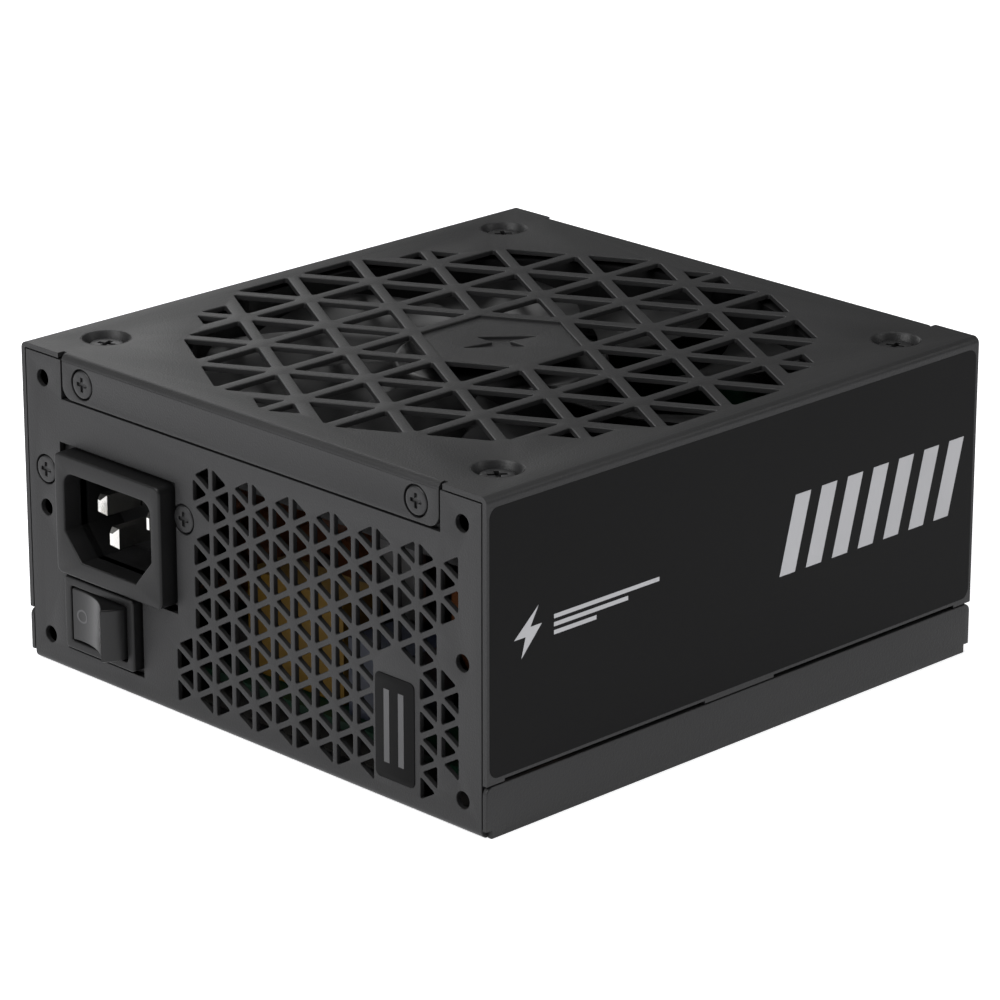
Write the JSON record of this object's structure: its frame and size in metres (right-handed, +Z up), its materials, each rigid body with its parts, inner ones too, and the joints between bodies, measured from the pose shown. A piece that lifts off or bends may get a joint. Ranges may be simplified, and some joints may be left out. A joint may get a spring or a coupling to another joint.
{
  "type": "power supply unit",
  "caption": "Compact modular computer power supply in a black folded steel case, with a triangle-lattice fan grille, a mains inlet, a rocker switch and rear vents.",
  "frame": {"origin": "middle of the case's underside", "axes": "+X towards the labelled side, +Y towards the output sockets, +Z up towards the fan grille"},
  "size_m": [0.125, 0.1357, 0.0635],
  "materials": {
    "coated_steel": "matte powder coat",
    "black_plastic": "satin",
    "rocker_plastic": "semi-gloss",
    "fan_plastic": "satin",
    "socket_plastic": "satin",
    "black_screw": "black oxide",
    "bright_metal": "plated",
    "bronze": "sintered",
    "copper": "enamelled wire",
    "magnet": "matte",
    "circuit_board": "solder mask",
    "insulation": "matte",
    "yellow_film": "satin",
    "cap_sleeve": "sleeve",
    "aluminium": "mill finish",
    "tape": "taped",
    "lead_sleeve": "matte"
  },
  "bodies": {
    "case": {"bottom_tray": "coated_steel", "top_cover": "coated_steel", "cover_screw_rear_left": "black_screw", "cover_screw_rear_right": "black_screw", "cover_screw_front_left": "black_screw", "cover_screw_front_right": "black_screw", "inlet_housing": "black_plastic", "inlet_pin_line": "bright_metal", "inlet_pin_neutral": "bright_metal", "inlet_pin_earth": "bright_metal", "inlet_screw_left": "black_screw", "inlet_screw_right": "black_screw", "switch_housing": "black_plastic", "switch_tab_1": "bright_metal", "switch_tab_2": "bright_metal", "fan_frame": "fan_plastic", "fan_bearing": "bronze", "fan_stator": "copper", "fan_screw_rear_left": "black_screw", "fan_screw_rear_right": "black_screw", "fan_screw_front_left": "black_screw", "fan_screw_front_right": "black_screw", "main_board": "circuit_board", "insulation_sheet": "insulation", "board_screw_1": "bright_metal", "board_screw_2": "bright_metal", "board_screw_3": "bright_metal", "board_screw_4": "bright_metal", "mains_filter_choke_1": "copper", "mains_filter_choke_2": "copper", "mains_filter_capacitor": "yellow_film", "mains_fuse": "insulation", "inrush_relay": "cap_sleeve", "bridge_rectifier": "black_plastic", "primary_heatsink": "aluminium", "boost_choke": "copper", "reservoir_capacitor": "cap_sleeve", "main_transformer": "tape", "standby_transformer": "tape", "secondary_heatsink": "aluminium", "output_capacitor_1": "cap_sleeve", "output_capacitor_2": "cap_sleeve", "converter_board": "circuit_board", "control_board": "circuit_board", "modular_board": "circuit_board", "motherboard_socket_18pin": "socket_plastic", "motherboard_socket_10pin": "socket_plastic", "processor_socket_1": "socket_plastic", "processor_socket_2": "socket_plastic", "graphics_socket_1": "socket_plastic", "graphics_socket_2": "socket_plastic", "drive_socket_1": "socket_plastic", "drive_socket_2": "socket_plastic", "drive_socket_3": "socket_plastic", "fan_lead": "lead_sleeve", "switch_lead": "lead_sleeve"},
    "rotor": {"fan_rotor": "fan_plastic", "fan_shaft": "bright_metal", "fan_magnet_ring": "magnet"},
    "rocker": {"switch_rocker": "rocker_plastic"}
  },
  "joints": [
    {"name": "fan_spin", "type": "hinge", "parent": "case", "child": "rotor", "pos_m": [0, 0, 0.055], "axis": [0, 0, 1], "continuous": true},
    {"name": "rocker_tilt", "type": "hinge", "parent": "case", "child": "rocker", "pos_m": [-0.0402, -0.0654, 0.01295], "axis": [0, 0, 1], "range_deg": [0, 36]}
  ]
}
